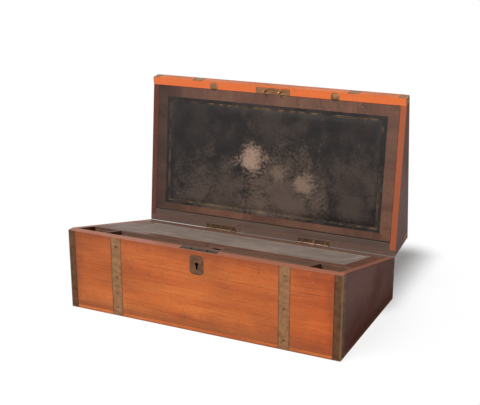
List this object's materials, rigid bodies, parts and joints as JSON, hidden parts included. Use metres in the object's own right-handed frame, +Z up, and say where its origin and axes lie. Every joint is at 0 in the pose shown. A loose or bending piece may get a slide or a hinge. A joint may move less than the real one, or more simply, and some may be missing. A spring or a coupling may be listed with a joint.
{
  "type": "traveling desk box",
  "caption": "Brass-bound wooden writing slope standing open: a wedge-shaped base with pen tray and ink bottles under a hinged leather flap, and a hinged lid with a matching flap.",
  "frame": {"origin": "centre of the base's underside", "axes": "+X along the width, +Y from the lock side towards the hinges, +Z up"},
  "size_m": [0.5, 0.3541, 0.3636],
  "materials": {
    "mahogany": "worn french polish",
    "inner_mahogany": "dull",
    "aged_brass": "tarnished",
    "steel": "dull",
    "dark_leather": "worn",
    "bottle_glass": "polished"
  },
  "bodies": {
    "base": {"base_front_wall": "mahogany", "base_back_wall": "mahogany", "base_left_end": "mahogany", "base_right_end": "mahogany", "base_bottom_board": "mahogany", "base_hinge_rail": "mahogany", "base_flap_ledges": "inner_mahogany", "pen_section_divider": "mahogany", "inkwell_cell_partitions": "inner_mahogany", "inkwell_cell_floors": "inner_mahogany", "pen_tray_bearers": "inner_mahogany", "base_strap_left": "aged_brass", "base_strap_right": "aged_brass", "base_corner_left": "aged_brass", "base_corner_right": "aged_brass", "escutcheon": "aged_brass", "lock_case": "aged_brass", "hinge_pins": "steel", "base_strap_screws": "aged_brass", "base_hinge_screws": "aged_brass", "hinge_left_base_leaf": "aged_brass", "hinge_right_base_leaf": "aged_brass"},
    "pen_tray": {"pen_tray": "inner_mahogany"},
    "lock_bolt": {"lock_bolt": "steel"},
    "base_flap": {"base_flap_board": "inner_mahogany", "base_flap_crossband": "mahogany", "base_flap_leather": "dark_leather", "base_flap_pivots": "aged_brass"},
    "lid": {"lid_front_wall": "mahogany", "lid_back_wall": "mahogany", "lid_left_end": "mahogany", "lid_right_end": "mahogany", "lid_top_board": "mahogany", "lid_hinge_rail": "mahogany", "lid_flap_ledges": "inner_mahogany", "lid_strap_left": "aged_brass", "lid_strap_right": "aged_brass", "lid_corner_caps": "aged_brass", "lock_link_plate": "aged_brass", "lid_strap_screws": "aged_brass", "lid_hinge_screws": "aged_brass", "hinge_left_lid_leaf": "aged_brass", "hinge_right_lid_leaf": "aged_brass"},
    "lid_flap": {"lid_flap_board": "inner_mahogany", "lid_flap_crossband": "mahogany", "lid_flap_leather": "dark_leather", "lid_flap_pivots": "aged_brass"},
    "lid_catch_left": {"lid_flap_catch_left": "aged_brass"},
    "lid_catch_right": {"lid_flap_catch_right": "aged_brass"},
    "inkwell_left": {"inkwell_left_bottle": "bottle_glass", "inkwell_left_collar": "aged_brass", "inkwell_left_cap_pin": "steel"},
    "inkwell_left_cap": {"inkwell_left_cap": "aged_brass"},
    "inkwell_right": {"inkwell_right_bottle": "bottle_glass", "inkwell_right_collar": "aged_brass", "inkwell_right_cap_pin": "steel"},
    "inkwell_right_cap": {"inkwell_right_cap": "aged_brass"}
  },
  "joints": [
    {"name": "lid_hinge", "type": "hinge", "parent": "base", "child": "lid", "pos_m": [0, 0.1377, 0.08015], "axis": [-1, 0, 0], "range_deg": [-82, 98]},
    {"name": "base_flap_hinge", "type": "hinge", "parent": "base", "child": "base_flap", "pos_m": [0, 0.1111, 0.08373], "axis": [-1, 0, 0], "range_deg": [0, 75]},
    {"name": "lid_flap_hinge", "type": "hinge", "parent": "lid", "child": "lid_flap", "pos_m": [0, 0.14281, 0.10656], "axis": [1, 0, 0], "range_deg": [0, 75]},
    {"name": "lid_catch_left_turn", "type": "hinge", "parent": "lid", "child": "lid_catch_left", "pos_m": [-0.12, 0.16234, 0.35142], "axis": [0, 0.9903, 0.1392], "range_deg": [0, 180]},
    {"name": "lid_catch_right_turn", "type": "hinge", "parent": "lid", "child": "lid_catch_right", "pos_m": [0.12, 0.16234, 0.35142], "axis": [0, 0.9903, 0.1392], "range_deg": [0, 180]},
    {"name": "lock_bolt_slide", "type": "slide", "parent": "base", "child": "lock_bolt", "axis": [1, 0, 0], "range_m": [0, 0.005]},
    {"name": "pen_tray_lift", "type": "slide", "parent": "base", "child": "pen_tray", "axis": [0, 0, 1], "range_m": [0, 0.04]},
    {"name": "inkwell_left_lift", "type": "slide", "parent": "base", "child": "inkwell_left", "axis": [0, 0, 1], "range_m": [0, 0.06]},
    {"name": "inkwell_left_cap_hinge", "type": "hinge", "parent": "inkwell_left", "child": "inkwell_left_cap", "pos_m": [-0.214, -0.0819, 0.1188], "axis": [-1, 0, 0], "range_deg": [0, 100]},
    {"name": "inkwell_right_lift", "type": "slide", "parent": "base", "child": "inkwell_right", "axis": [0, 0, 1], "range_m": [0, 0.06]},
    {"name": "inkwell_right_cap_hinge", "type": "hinge", "parent": "inkwell_right", "child": "inkwell_right_cap", "pos_m": [0.214, -0.0819, 0.1188], "axis": [-1, 0, 0], "range_deg": [0, 100]}
  ]
}
